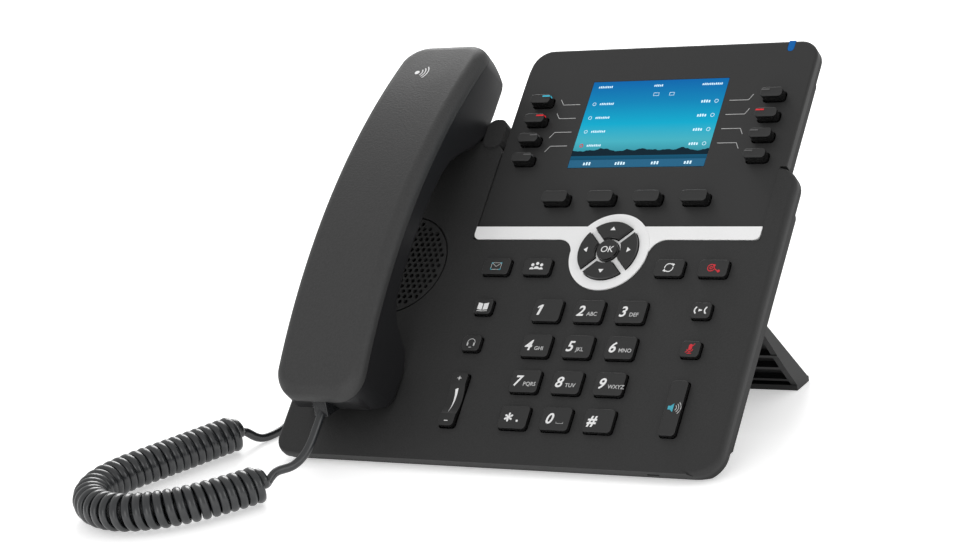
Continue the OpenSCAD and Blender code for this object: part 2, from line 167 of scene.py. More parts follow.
def rim_gap(point: Vector, low: Point, high: Point, corner: float) -> float:
    """How far inside a rounded rectangle a point lies, in millimetres.

    Args:
        point: A point on the face.
        low: The rectangle's lowest corner.
        high: Its highest corner.
        corner: Its corner radius.

    Returns:
        The distance to the rim, below 0 outside it.
    """
    reach = [abs(point[k] - (low[k] + high[k]) / 2) - (high[k] - low[k]) / 2 + corner for k in (0, 1)]
    if min(reach) > 0:
        return corner - math.hypot(*reach)
    return corner - max(reach)


def cad_copy(node: str) -> Object:
    """Copies a CAD node's mesh onto the face as clean merged faces.

    Args:
        node: The node's name.

    Returns:
        The copy, in millimetres on the face.
    """
    mesh = frame["nodes"][node].data.copy()
    mesh.materials.clear()
    mesh.transform(FACE.inverted())
    piece = bpy.data.objects.new(node + "_shell", mesh)
    bpy.context.scene.collection.objects.link(piece)
    only(piece)
    bpy.ops.mesh.customdata_custom_splitnormals_clear()
    bpy.ops.object.mode_set(mode="EDIT")
    bpy.ops.mesh.select_all(action="SELECT")
    bpy.ops.mesh.remove_doubles(threshold=0.002)
    bpy.ops.mesh.dissolve_limited(angle_limit=math.radians(0.5))
    bpy.ops.object.mode_set(mode="OBJECT")
    return piece


def rounded_edges(piece: Object, width: Callable[[Vector, Vector], float], widest: float, steps: int) -> None:
    """Rounds a piece's edges, each by its own width.

    Args:
        piece: The piece, in millimetres.
        width: Gives an edge's width from its two ends; 0 leaves it sharp.
        widest: The largest width that it gives.
        steps: Segments across the rounding.
    """
    mesh = piece.data
    corners = [(mesh.vertices[a].co, mesh.vertices[b].co) for a, b in (e.vertices for e in mesh.edges)]
    shape = bmesh.new()
    shape.from_mesh(mesh)
    sharp = [e.calc_face_angle(0) > SHARP_EDGE for e in shape.edges]
    shape.free()
    weights = mesh.attributes.new("bevel_weight_edge", "FLOAT", "EDGE")
    shares = [width(a, b) / widest if s else 0 for (a, b), s in zip(corners, sharp)]
    weights.data.foreach_set("value", shares)
    apply_modifier(piece, "BEVEL", width=widest, segments=steps, limit_method="WEIGHT",
                   use_clamp_overlap=False, loop_slide=False)


def rounded_all(piece: Object, width: float, steps: int = 2, angle: float = 35) -> None:
    """Rounds every edge sharper than the angle, by a width in millimetres."""
    apply_modifier(piece, "BEVEL", width=width, segments=steps, limit_method="ANGLE",
                   angle_limit=math.radians(angle), use_clamp_overlap=True)


def block(low: Sequence[float], high: Sequence[float], name: str = "block") -> Object:
    """Adds a box.

    Args:
        low: Its lowest corner, in millimetres.
        high: Its highest corner.
        name: Its name.

    Returns:
        The box.
    """
    bpy.ops.object.select_all(action="DESELECT")
    middle = [(a + b) / 2 for a, b in zip(low, high)]
    bpy.ops.mesh.primitive_cube_add(size=1, location=middle, scale=[b - a for a, b in zip(low, high)])
    piece = bpy.context.object
    piece.name = name
    bpy.ops.object.transform_apply(location=True, rotation=True, scale=True)
    return piece


def joined(pieces: Sequence[Object]) -> Object:
    """Joins pieces.

    Args:
        pieces: The pieces, all of which but the first are used up.

    Returns:
        The first one, which now holds them all.
    """
    only(pieces[0])
    for piece in pieces:
        piece.select_set(True)
    if len(pieces) > 1:
        bpy.ops.object.join()
    return pieces[0]


def arc(centre: Point, radius: float, start: float, end: float, steps: int = 10) -> list[Point]:
    """Points along an arc, its angles in degrees."""
    angles = [math.radians(start + (end - start) * i / steps) for i in range(steps + 1)]
    return [(centre[0] + radius * math.cos(a), centre[1] + radius * math.sin(a)) for a in angles]


def flat_curve(outlines: Sequence[Sequence[Point]], thick: float, width: float = 0) -> Object:
    """Makes a thin plate from closed outlines, or low lines along open ones.

    Args:
        outlines: The outlines or lines, in millimetres.
        thick: Thickness out of the face.
        width: Width of a line; 0 fills the outlines, and one inside another is a hole.

    Returns:
        The mesh, with its middle at n = 0.
    """
    curve = bpy.data.curves.new("plate", "CURVE")
    curve.dimensions = "3D" if width else "2D"
    curve.resolution_u = 1
    if width:
        curve.bevel_depth = width / 2
        curve.bevel_resolution = 1
        curve.use_fill_caps = True
    else:
        curve.fill_mode = "BOTH"
        curve.extrude = thick / 2
    for outline in outlines:
        spline = curve.splines.new("POLY")
        spline.points.add(len(outline) - 1)
        spline.points.foreach_set("co", [c for x, y in outline for c in (x, y, 0, 1)])
        spline.use_cyclic_u = not width
    piece = bpy.data.objects.new("plate", curve)
    bpy.context.scene.collection.objects.link(piece)
    only(piece)
    bpy.ops.object.convert(target="MESH")
    piece = bpy.context.object
    if width:
        piece.data.transform(Matrix.Diagonal((1, 1, thick / width, 1)))
    return piece


def place(piece: Object, x: float = 0, v: float = 0, n: float = 0) -> Object:
    """Lays a piece modelled round the origin on the face, at x, v, n in millimetres."""
    piece.data.transform(FACE @ Matrix.Translation((x, v, n)))
    return piece


# ---- finishes ----


def linear(colour: str) -> tuple[float, float, float, float]:
    """Turns an sRGB hex colour into linear red, green, blue and alpha."""
    parts = [int(colour[i : i + 2], 16) / 255 for i in (1, 3, 5)]
    return (*[c / 12.92 if c <= 0.04045 else ((c + 0.055) / 1.055) ** 2.4 for c in parts], 1.0)


def add(tree: bpy.types.NodeTree, kind: str, inputs: dict, **settings: object) -> bpy.types.Node:
    """Adds a node.

    Args:
        tree: The node tree.
        kind: The node's type.
        inputs: A value or another node's socket for each input, by name or number.
        settings: The node's own settings; stops gives a colour ramp's positions and colours.

    Returns:
        The new node.
    """
    made = tree.nodes.new(kind)
    for position, colour in settings.pop("stops", ()):
        stops = made.color_ramp.elements
        stop = stops[0] if position == 0 else stops[-1] if position == 1 else stops.new(position)
        stop.color = linear(colour)
    for name, value in settings.items():
        setattr(made, name, value)
    for name, value in inputs.items():
        if isinstance(value, bpy.types.NodeSocket):
            tree.links.new(value, made.inputs[name])
        else:
            made.inputs[name].default_value = value
    return made


@dataclass(frozen=True)
class Finish:
    """A moulded, printed or coated surface with a fine grain.

    Attributes:
        name: The material's name.
        colour: Its main colour.
        shade: The colour in the grain's hollows.
        roughness: How matt it is.
        grain: Width of one grain, in millimetres.
        relief: Height of the grain, in millimetres.
        glow: Strength of its own light, 0 for none.
        shine: Strength of its plain reflection.
        coat: Clear gloss over it.
        metallic: 1 for bare metal.
    """

    name: str
    colour: str
    shade: str
    roughness: float
    grain: float
    relief: float
    glow: float = 0
    shine: float = 0.35
    coat: float = 0
    metallic: float = 0

    def material(self) -> bpy.types.Material:
        """Returns the material, and makes it the first time."""
        found = bpy.data.materials.get(self.name)
        if found:
            return found
        made = bpy.data.materials.new(self.name)
        made.use_nodes = True
        tree = made.node_tree
        shader = tree.nodes["Principled BSDF"]
        spot = add(tree, "ShaderNodeTexCoord", {}).outputs["Object"]
        fine = add(tree, "ShaderNodeTexNoise",
                   {"Vector": spot, "Scale": 1 / (self.grain * MM), "Detail": 3.0})
        broad = add(tree, "ShaderNodeTexNoise",
                    {"Vector": spot, "Scale": 1 / (HANDLING_PATCH * MM), "Detail": 2.0})
        mix = add(tree, "ShaderNodeMix",
                  {0: fine.outputs["Fac"], 6: linear(self.colour), 7: linear(self.shade)},
                  data_type="RGBA")
        rough = add(tree, "ShaderNodeMapRange",
                    {"Value": broad.outputs["Fac"], "To Min": self.roughness - ROUGHNESS_DRIFT,
                     "To Max": self.roughness + ROUGHNESS_DRIFT})
        bump = add(tree, "ShaderNodeBump", {"Height": fine.outputs["Fac"], "Strength": 1.0,
                                            "Distance": self.relief * MM})
        tree.links.new(mix.outputs[2], shader.inputs["Base Color"])
        tree.links.new(rough.outputs["Result"], shader.inputs["Roughness"])
        tree.links.new(bump.outputs["Normal"], shader.inputs["Normal"])
        if self.glow:
            tree.links.new(mix.outputs[2], shader.inputs["Emission Color"])
        shader.inputs["Emission Strength"].default_value = self.glow
        shader.inputs["Specular IOR Level"].default_value = self.shine
        shader.inputs["Coat Weight"].default_value = self.coat
        shader.inputs["Metallic"].default_value = self.metallic
        return made


@dataclass(frozen=True)
class PictureFinish(Finish):
    """The lit screen's picture: an evening sky over dark hills and still water."""

    def material(self) -> bpy.types.Material:
        """Returns the material, and makes it the first time."""
        made = super().material()
        tree = made.node_tree
        shader = tree.nodes["Principled BSDF"]
        across = add(tree, "ShaderNodeTexCoord", {}).outputs["UV"]
        split = add(tree, "ShaderNodeSeparateXYZ", {0: across})
        sky = add(tree, "ShaderNodeValToRGB", {0: split.outputs["Y"]},
                  stops=[(0, "#062c40"), (0.13, "#0b5575"), (0.2, "#3c9fb0"), (0.3, "#48b6c7"),
                         (0.5, "#08aed2"), (0.75, "#0588bd"), (1, "#0068b0")])
        along = add(tree, "ShaderNodeCombineXYZ", {"X": split.outputs["X"]})
        ridge = add(tree, "ShaderNodeTexNoise", {"Vector": along.outputs[0], "Scale": 7.0, "Detail": 3.0})
        top = add(tree, "ShaderNodeMath", {0: ridge.outputs["Fac"], 1: 0.16, 2: 0.12},
                  operation="MULTIPLY_ADD")
        under = add(tree, "ShaderNodeMath", {0: split.outputs["Y"], 1: top.outputs[0]},
                    operation="LESS_THAN")
        shore = add(tree, "ShaderNodeMath", {0: split.outputs["Y"], 1: 0.135}, operation="GREATER_THAN")
        hill = add(tree, "ShaderNodeMath", {0: under.outputs[0], 1: shore.outputs[0]}, operation="MULTIPLY")
        seen = add(tree, "ShaderNodeMix", {0: hill.outputs[0], 6: sky.outputs["Color"], 7: linear("#05222f")},
                   data_type="RGBA")
        tree.links.new(seen.outputs[2], shader.inputs["Emission Color"])
        return made


# ABS moulded in spark-eroded tools: a dry, fine-grained charcoal that scatters the light widely.
COVER = Finish("abs_spark_grain_charcoal", "#2e2e2e", "#242424", 0.58, 0.9, 0.1)
# The same ABS from a finer tool, smoother round the screen.
DISPLAY = Finish("abs_fine_satin_charcoal", "#2b2b2b", "#252525", 0.5, 0.5, 0.02)
# ABS with the rear mould's coarser texture.
REAR = Finish("abs_rear_texture", "#1f1f1f", "#181818", 0.62, 0.7, 0.06)
# Handset halves: the upper one grained, the lower one satin and painted much darker as painted shade, for the
# shadow it lies in over the base.
HANDSET_TOP = Finish("abs_handset_grain", "#3c3c3c", "#2e2e2e", 0.55, 1.0, 0.14)
HANDSET_LOW_SATIN_AND_SHADE = Finish("abs_handset_satin", "#1d1d1e", "#18181a", 0.42, 0.45, 0.015)
# Key tops of painted polycarbonate, smooth and satin; their walls keep the tool's gloss and are painted
# near-black as painted shade, where they turn from the light. The same black gloss serves the screen module and
# the board's edges.
KEY_TOP = Finish("polycarbonate_key_satin", "#2a2a2a", "#242424", 0.42, 0.4, 0.008)
BLACK_GLOSS_AND_WALL_SHADE = Finish("polycarbonate_key_gloss", "#101010", "#0b0b0b", 0.22, 0.5, 0.006, coat=0.4)
# Trim of painted ABS, an even satin white.
TRIM = Finish("abs_satin_white", "#f6f6f6", "#efefef", 0.34, 0.5, 0.004, coat=0.3)
# Pad-printing inks, flat and slightly uneven.
WHITE_INK = Finish("pad_print_white", "#f2f2f2", "#e2e2e2", 0.5, 0.3, 0.002)
GREY_INK = Finish("pad_print_grey", "#cccccc", "#b8b8b8", 0.55, 0.3, 0.002)
RED_INK = Finish("pad_print_red", "#d92f3c", "#bf1f2b", 0.5, 0.3, 0.002)
TEAL_INK = Finish("pad_print_teal", "#4fb4c7", "#3898ac", 0.5, 0.3, 0.002)
# Light pipes of tinted polycarbonate, lit or dark.
LED_CYAN = Finish("light_pipe_cyan", "#48bdd4", "#32a3bd", 0.3, 0.5, 0.002, glow=0.3)
LED_RED = Finish("light_pipe_red", "#e0202b", "#c01822", 0.3, 0.5, 0.002, glow=0.3)
LED_DARK = Finish("light_pipe_unlit", "#5e5e5e", "#505050", 0.35, 0.5, 0.002)
BLUE_LENS = Finish("polycarbonate_blue_lens", "#005ca2", "#004f90", 0.3, 0.8, 0.004, glow=0.3, shine=0.15)
# Lit marks on the screen.
PIXEL_WHITE = Finish("lcd_mark_white", "#d6edf7", "#bddff0", 0.3, 0.3, 0.001, glow=0.35)
PIXEL_RED = Finish("lcd_mark_red", "#c8242e", "#a81c25", 0.3, 0.3, 0.001, glow=0.4)
PIXEL_BAR = Finish("lcd_footer_bar", "#1f5876", "#1b5170", 0.4, 0.6, 0.001, glow=0.5, shine=0.1)
PICTURE = PictureFinish("lcd_picture", "#0a0f14", "#080c10", 0.35, 0.5, 0.001, glow=0.95, shine=0.05)
# Cord of extruded PVC, smooth with a soft gloss.
CORD = Finish("pvc_cord_black", "#232527", "#1b1d1f", 0.28, 0.9, 0.01, shine=0.7)
PLUG = Finish("polycarbonate_smoked_plug", "#1c1d1f", "#171819", 0.2, 0.8, 0.002, coat=0.3)
RUBBER = Finish("moulded_rubber_black", "#1b1b1b", "#131313", 0.8, 0.6, 0.03)
SILICONE = Finish("silicone_key_mat", "#6c6f72", "#606366", 0.6, 0.6, 0.01)
LAMINATE = Finish("solder_masked_laminate", "#1d5c36", "#174b2c", 0.3, 0.6, 0.004)
CONE = Finish("paper_cone_black", "#181818", "#111111", 0.85, 0.4, 0.03)
ZINC = Finish("zinc_plated_steel", "#b9bcbf", "#a3a6a9", 0.3, 0.4, 0.004, metallic=1)
STAND = Finish("abs_stand_black", "#202020", "#181818", 0.55, 0.6, 0.03)
# Studio paper, which throws a little light of its own so that it stays pale under the telephone.
FLOOR = Finish("floor_paper", "#fcfcfc", "#f8f8f8", 0.9, 2.0, 0.01, glow=0.45)


def deliver(piece: Object, name: str, body: str, finishes: Sequence[Finish], nodes: Sequence[str] = ()) -> Object:
    """Names a finished piece, dresses it and makes it ride.

    Args:
        piece: The piece, in place and in metres.
        name: Its name.
        body: The CAD body it moves with.
        finishes: Its finishes, where it has none yet.
        nodes: The CAD nodes that it stands for.

    Returns:
        The piece.
    """
    piece.name = name
    piece.data.name = name
    if not piece.data.materials:
        for finish in finishes:
            piece.data.materials.append(finish.material())
    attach(piece, body)
    if nodes:
        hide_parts(*nodes)
    LOG.info("%s: %d faces on %s", name, len(piece.data.polygons), body)
    return piece


# ---- sub-assemblies ----


@dataclass
class Studio:
    """Camera, soft lights and a pale floor."""

    place: Point = (0.6375, -1.0128)
    height: float = 0.4203
    lens: float = 99.89
    nearest: float = 0.05
    daylight: float = 0.76
    floor_size: float = 12
    floor_drop: float = 0.0002
    right: tuple[float, float, float] = (0.84549, 0.50739, -0.16645)
    ahead: tuple[float, float, float] = (-0.53390, 0.79723, -0.28173)

    def camera(self) -> None:
        """Adds the camera, turned so that right and ahead are as stated."""
        right, back = Vector(self.right), -Vector(self.ahead)
        turn = Matrix((right, back.cross(right), back)).transposed().to_4x4()
        made = bpy.data.objects.new("camera", bpy.data.cameras.new("camera"))
        made.data.lens = self.lens
        made.data.clip_start = self.nearest
        made.matrix_world = Matrix.Translation((*self.place, self.height)) @ turn
        bpy.context.scene.collection.objects.link(made)
        bpy.context.scene.camera = made

    def light(self, name: str, place: tuple[float, float, float], size: float, power: float) -> None:
        """Adds a square soft light that faces the telephone.

        Args:
            name: Its name.
            place: Where it hangs, in metres.
            size: Its side, in metres.
            power: Its power, in watts.
        """
        made = bpy.data.objects.new(name, bpy.data.lights.new(name, "AREA"))
        made.data.size = size
        made.data.energy = power
        made.location = place
        made.rotation_euler = (Vector((0, 0, 0.08)) - Vector(place)).to_track_quat("-Z", "Y").to_euler()
        bpy.context.scene.collection.objects.link(made)

    def build(self) -> None:
        """Builds the studio."""
        self.light("key_light", (-0.75, 1.1, 0.85), 0.8, 13)
        self.light("front_light", (0.2, -1.7, 0.5), 0.9, 4)
        self.light("side_light", (1.6, 0.2, 0.5), 0.8, 3)
        world = bpy.data.worlds.new("studio")
        world.use_nodes = True
        world.node_tree.nodes["Background"].inputs["Color"].default_value = (1, 1, 1, 1)
        world.node_tree.nodes["Background"].inputs["Strength"].default_value = self.daylight
        bpy.context.scene.world = world
        bpy.context.scene.view_settings.view_transform = "Standard"
        bpy.ops.object.select_all(action="DESELECT")
        bpy.ops.mesh.primitive_plane_add(size=self.floor_size, location=(0, 0, -self.floor_drop))
        floor = bpy.context.object
        floor.name = "floor"
        floor.data.materials.append(FLOOR.material())


@dataclass
class CurlyCord:
    """The handset's cord: a plain tail at each end and a coil between them.

    Lengths are in millimetres. The section is an oval, wider along the coil than it is thick.
    """

    coil: list[tuple[float, float]] = field(default_factory=lambda: [
        (-88, -127), (-98, -142), (-110, -156), (-124, -166), (-140, -171), (-156, -168), (-168, -158),
        (-173, -144), (-170, -128), (-163, -113), (-156, -98), (-149, -83), (-143, -71)])
    handset_tail: list[tuple[float, float, float]] = field(default_factory=lambda: [
        (-81, -87.6, 28.3), (-81, -94, 23), (-81, -100, 18), (-82, -106, 13.5), (-84, -112, 11),
        (-86, -117, 11), (-88, -121, 12), (-91, -124.8, 14)])
    base_tail: list[tuple[float, float, float]] = field(default_factory=lambda: [
        (-117, -26.7, 29.3), (-122, -26.7, 29), (-128, -29, 25), (-132, -33, 17), (-134, -39, 8),
        (-135, -46, 3), (-136, -53, 1.9), (-137, -59, 1.9), (-140, -65, 2.5), (-143.2, -70.9, 5)])
    turns: int = 44
    per_turn: int = 20
    coil_height: float = 9.5
    coil_radius: float = 7.8
    lead: float = 1.5
    step: float = 1.4
    smoothing: int = 8
    middle_steps: int = 400
    join: int = 5
    base_steps: int = 62
    handset_steps: int = 48
    width: float = 4.2
    thick: float = 3.1
    sides: int = 12

    @staticmethod
    def curve(points: Sequence[Sequence[float]], count: int) -> np.ndarray:
        """Runs a smooth curve through points.

        Args:
            points: The points to pass.
            count: How many points to return, evenly spaced.

        Returns:
            An array of points along a Catmull-Rom curve.
        """
        p = np.array(points, float)
        p = np.vstack([2 * p[0] - p[1], p, 2 * p[-1] - p[-2]])
        fine = []
        for a, b, c, d in zip(p[:-3], p[1:-2], p[2:-1], p[3:]):
            for t in np.linspace(0, 1, 20, endpoint=False):
                fine.append(0.5 * (2 * b + (c - a) * t + (2 * a - 5 * b + 4 * c - d) * t**2
                                   + (3 * b - a - 3 * c + d) * t**3))
        line = np.array([*fine, p[-2]])
        along = np.concatenate([[0], np.cumsum(np.linalg.norm(np.diff(line, axis=0), axis=1))])
        at = np.linspace(0, along[-1], count)
        return np.stack([np.interp(at, along, line[:, k]) for k in range(3)], axis=1)

    def helix(self) -> tuple[np.ndarray, np.ndarray]:
        """Winds the coil round its middle line, from the base's end to the handset's.

        Returns:
            Its points, and at each the direction away from the middle line.
        """
        middle = self.curve([(x, y, self.coil_height) for x, y in reversed(self.coil)], self.middle_steps)
        ahead = np.gradient(middle, axis=0)
        ahead /= np.linalg.norm(ahead, axis=1)[:, None]
        # turns are spaced wider where the coil bends, so they stay apart on the inside
        bend = np.linalg.norm(np.gradient(ahead, axis=0), axis=1)
        bend /= np.linalg.norm(np.gradient(middle, axis=0), axis=1)
        turned = np.cumsum(1 / (1 + self.coil_radius * bend))
        turned = (turned - turned[0]) / (turned[-1] - turned[0])
        at = np.linspace(0, 1, self.turns * self.per_turn)
        base, along = (np.stack([np.interp(at, turned, a[:, k]) for k in range(3)], axis=1)
                       for a in (middle, ahead))
        side = np.cross([0.0, 0.0, 1.0], along)
        side /= np.linalg.norm(side, axis=1)[:, None]
        angle = (2 * math.pi * self.turns * at + math.pi / 2)[:, None]
        out = np.cos(angle) * side + np.sin(angle) * np.cross(along, side)
        # the first and last turns widen from the middle line, where the tails join them
        grown = np.clip(np.minimum(at, 1 - at) * self.turns / self.lead, 0, 1)[:, None]
        return base + self.coil_radius * grown**2 * (3 - 2 * grown) * out, out

    def route(self) -> tuple[np.ndarray, np.ndarray]:
        """The whole cord's middle line, from the base's plug to the handset's.

        Returns:
            Its points, and at each the direction of the section's short side.
        """
        helix, out = self.helix()
        start = self.curve([*self.base_tail[:-1], *helix[0:self.join:2]], self.base_steps)[:-1]
        end = self.curve([*helix[-self.join::2], *self.handset_tail[::-1][1:]], self.handset_steps)[1:]
        line = np.vstack([start, helix[self.join:-self.join], end])
        out = np.vstack([np.zeros_like(start), out[self.join:-self.join], np.zeros_like(end)])
        ahead = np.gradient(line, axis=0)
        for i in [*range(len(start) - 1, -1, -1), *range(len(line) - len(end), len(line))]:
            near = out[i + 1] if i < len(start) else out[i - 1]
            across = near - near.dot(ahead[i]) / ahead[i].dot(ahead[i]) * ahead[i]
            out[i] = across / np.linalg.norm(across)
        along = np.concatenate([[0], np.cumsum(np.linalg.norm(np.diff(line, axis=0), axis=1))])
        even = np.linspace(0, along[-1], int(along[-1] / self.step))
        line, out = (np.stack([np.interp(even, along, a[:, k]) for k in range(3)], axis=1)
                     for a in (line, out))
        for _ in range(self.smoothing):
            line[1:-1] = (line[:-2] + 2 * line[1:-1] + line[2:]) / 4
        return line, out

    def plug(self, node: str, body: str) -> Object:
        """Builds a modular plug's body in a node's box.

        Args:
            node: The plug's node.
            body: The body that it is pushed into.

        Returns:
            The plug.
        """
        low, high = (v / MM for v in map(Vector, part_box(node)))
        size = high - low
        long = max(range(3), key=lambda k: size[k])
        piece = block(low, high, node)
        with editing(piece, Element.FACES, lambda centre, normal: abs(normal[long]) > 0.9):
            bpy.ops.mesh.inset(thickness=min(size) * 0.16)
        rounded_all(piece, min(size) * 0.08, 3)
        smooth(piece)
        piece.data.transform(Matrix.Scale(MM, 4))
        return deliver(piece, node + "_body", body, [PLUG], [node])

    def build(self) -> Object:
        """Returns:
            The cord.
        """
        line, out = self.route()
        ahead = np.gradient(line, axis=0)
        ahead /= np.linalg.norm(ahead, axis=1)[:, None]
        out -= (out * ahead).sum(1)[:, None] * ahead
        out /= np.linalg.norm(out, axis=1)[:, None]
        flat = np.cross(ahead, out)
        points, faces = [], []
        for p, o, f in zip(line, out, flat):
            for k in range(self.sides):
                a = 2 * math.pi * k / self.sides
                points.append(p + math.cos(a) * self.thick / 2 * o + math.sin(a) * self.width / 2 * f)
        n, s = len(line), self.sides
        for i in range(n - 1):
            faces += [(i * s + k, i * s + (k + 1) % s, (i + 1) * s + (k + 1) % s, (i + 1) * s + k)
                      for k in range(s)]
        faces += [tuple(range(s - 1, -1, -1)), tuple((n - 1) * s + k for k in range(s))]
        plugs = [self.plug("handset_plug", "handset"), self.plug("base_plug", "base")]
        mesh = bpy.data.meshes.new("curly_cord")
        mesh.from_pydata([p * MM for p in points], [], faces)
        piece = bpy.data.objects.new("curly_cord", mesh)
        bpy.context.scene.collection.objects.link(piece)
        mesh.materials.append(CORD.material())
        smooth(piece, 60)
        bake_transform(piece)
        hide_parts("cord_coil", "handset_cord_tail", "base_cord_tail")
        return piece


def dressed(piece: Object, flat: Finish, shaded_wall: Finish, limit: float = 0.35) -> None:
    """Gives faces that look out of the face one finish and the rest another, which paints shade on the walls.

    Args:
        piece: The piece, on the face in millimetres.
        flat: The finish of what faces out.
        shaded_wall: The finish of the walls.
        limit: How squarely a face has to look out.
    """
    piece.data.materials.clear()
    piece.data.materials.append(flat.material())
    piece.data.materials.append(shaded_wall.material())
    for polygon in piece.data.polygons:
        polygon.material_index = 0 if polygon.normal.z > limit else 1


@dataclass(frozen=True)
class Print:
    """Flat printed shapes in one ink: lines where there is a width, or filled outlines."""

    ink: Finish
    outlines: tuple[tuple[Point, ...], ...]
    width: float = 0
    thick: float = 0.12

    def build(self) -> Object:
        """Builds the print round the origin."""
        piece = flat_curve(self.outlines, self.thick, self.width)
        piece.data.materials.append(self.ink.material())
        return piece


@dataclass(frozen=True)
class Word:
    """A printed character or short row of characters."""

    ink: Finish
    text: str
    size: float
    left: float
    foot: float
    weight: float = 0.0
    slant: float = 0.0

    def build(self) -> Object:
        """Builds the characters with their left foot at (left, foot)."""
        bpy.ops.object.select_all(action="DESELECT")
        bpy.ops.object.text_add(location=(self.left, self.foot, 0))
        piece = bpy.context.object
        text = piece.data
        text.body, text.size, text.shear, text.offset = self.text, self.size, self.slant, self.weight
        text.extrude = 0.06
        text.resolution_u = 3
        bpy.ops.object.convert(target="MESH")
        piece = bpy.context.object
        bpy.ops.object.transform_apply(location=True, rotation=True, scale=True)
        piece.data.materials.append(self.ink.material())
        return piece


def disc(centre: Point, radius: float) -> tuple[Point, ...]:
    """A round outline."""
    return tuple(arc(centre, radius, 0, 345, 23))


def mirrored(outline: Sequence[Point]) -> tuple[Point, ...]:
    """The outline with left and right swapped."""
    return tuple((-x, y) for x, y in reversed(outline))


def dial_legends() -> dict[str, list]:
    """Designs the dial keys' legends.

    Returns:
        The digits, signs and letters, by node.
    """
    letters = ["", "ABC", "DEF", "GHI", "JKL", "MNO", "PQRS", "TUV", "WXYZ"]
    legends = {}
    for i, small in enumerate(letters):
        legends[f"dial_key_{i + 1}"] = [Word(WHITE_INK, str(i + 1), 7.4, -5.9, -2.5, 0.13, 0.22)]
        if small:
            legends[f"dial_key_{i + 1}"].append(Word(GREY_INK, small, 2.8, -0.4, -2.4, 0.02))
    one = ((-4.8, -2.5), (-3.6, -2.5), (-2.3, 2.9), (-3.3, 2.9), (-5.0, 1.9), (-5.2, 1.0), (-3.85, 1.65))
    legends["dial_key_1"] = [Print(WHITE_INK, (one,))]
    legends["dial_key_star"] = [Word(WHITE_INK, "*", 9.5, -4.9, -5.0, 0.16, 0.1),
                                Print(WHITE_INK, (disc((2.4, -1.9), 0.55),))]
    legends["dial_key_0"] = [Word(WHITE_INK, "0", 7.4, -5.2, -2.5, 0.13, 0.22),
                             Print(GREY_INK, (((0.9, -1.6), (0.9, -2.3), (4.4, -2.3), (4.4, -1.6)),), 0.25)]
    legends["dial_key_hash"] = [Word(WHITE_INK, "#", 7.2, -5.4, -2.5, 0.2, 0.12)]
    return legends


def function_legends() -> dict[str, list]:
    """Designs the legends of the keys round the dial.

    Returns:
        The signs, by node.
    """
    body = tuple(arc((0, -1.5), 1.25, 0, 180, 8))
    page = ((-2.3, -1.3), (-0.25, -1.6), (-0.25, 1.2), (-2.3, 1.6))
    arrow = ((1.0, 1.9), (2.3, 1.5), (1.6, 0.5))
    sender = ((-2.1, -0.75), (-1.1, -0.75), (0.1, -1.8), (0.1, 1.8), (-1.1, 0.75), (-2.1, 0.75))
    corner = ((-2.2, 0.9), (-2.2, 1.5), (-1.5, 1.5))
    corners = [tuple((x * a, y * b) for x, y in corner) for a in (1, -1) for b in (1, -1)]
    return {
        "message_key": [
            Print(GREY_INK, (((-2.2, -1.5), (2.2, -1.5), (2.2, 1.5), (-2.2, 1.5), (-2.2, -1.5)),
                             ((-2.2, 1.5), (0, -0.2), (2.2, 1.5))), 0.26),
            Print(TEAL_INK, tuple(corners), 0.36, 0.16)],
        "conference_key": [
            Print(WHITE_INK, tuple(disc((x, y), 0.68) for x, y in ((-2, 0.7), (0, 1.3), (2, 0.7)))),
            Print(WHITE_INK, tuple(tuple((x * s + dx, y * s + dy) for x, y in body)
                                   for dx, dy, s in ((-2.1, -0.2, 0.75), (0, 0.35, 1), (2.1, -0.2, 0.75))))],
        "redial_key": [
            Print(WHITE_INK, (tuple(arc((0, 0), 1.75, 50, 190)), tuple(arc((0, 0), 1.75, 230, 370))), 0.42),
            Print(WHITE_INK, (arrow, tuple((-x, -y) for x, y in arrow)))],
        "release_key": [
            Print(RED_INK, (tuple(arc((-0.7, 0.1), 1.45, 20, 340, 20)),
                            tuple(arc((-0.7, 0.1), 0.55, 0, 360, 12)),
                            tuple(arc((3.1, 1.7), 3.0, 190, 262))), 0.42),
            Print(RED_INK, (disc((2.6, -1.3), 0.62), disc((0.35, 1.1), 0.5)))],
        "phonebook_key": [
            Print(WHITE_INK, (page, mirrored(page))),
            Print(WHITE_INK, (((-2.3, -2.0), (-0.2, -2.1), (0.2, -2.1), (2.3, -2.0)),), 0.25)],
        "headset_key": [
            Print(GREY_INK, (tuple(arc((0, 0.1), 1.7, -35, 215, 16)), ((-0.6, -1.9), (0.5, -1.9))), 0.28),
            Print(GREY_INK, (((-1.75, -1.2), (-1.15, -1.2), (-1.15, 0.1), (-1.75, 0.1)),
                             ((1.15, -1.2), (1.75, -1.2), (1.75, 0.1), (1.15, 0.1))))],
        "transfer_key": [
            Print(WHITE_INK, (tuple(arc((-0.9, 0), 1.7, 125, 235)),
                              tuple(arc((3.3, 0), 1.7, 125, 235))), 0.62),
            Print(WHITE_INK, (((-0.9, 0.55), (-0.9, -0.55), (0.5, -0.15), (0.5, 0.15)),))],
        "mute_key": [
            Print(RED_INK, (tuple(arc((0.1, 0.2), 1.3, 195, 345)), ((0.1, -1.1), (0.1, -1.9)),
                            ((-0.8, -1.9), (1.0, -1.9)), ((-1.5, -1.6), (1.6, 2.2))), 0.34),
            Print(RED_INK, (tuple(arc((0.1, 1.3), 0.7, 0, 180, 8))
                            + tuple(arc((0.1, 0.1), 0.7, 180, 360, 8)),))],
        "speaker_key": [
            Print(TEAL_INK, (sender,)),
            Print(GREY_INK, tuple(tuple(arc((0.1, 0), r, -48, 48, 8)) for r in (1.3, 2.2, 3.1)), 0.3)],
    }


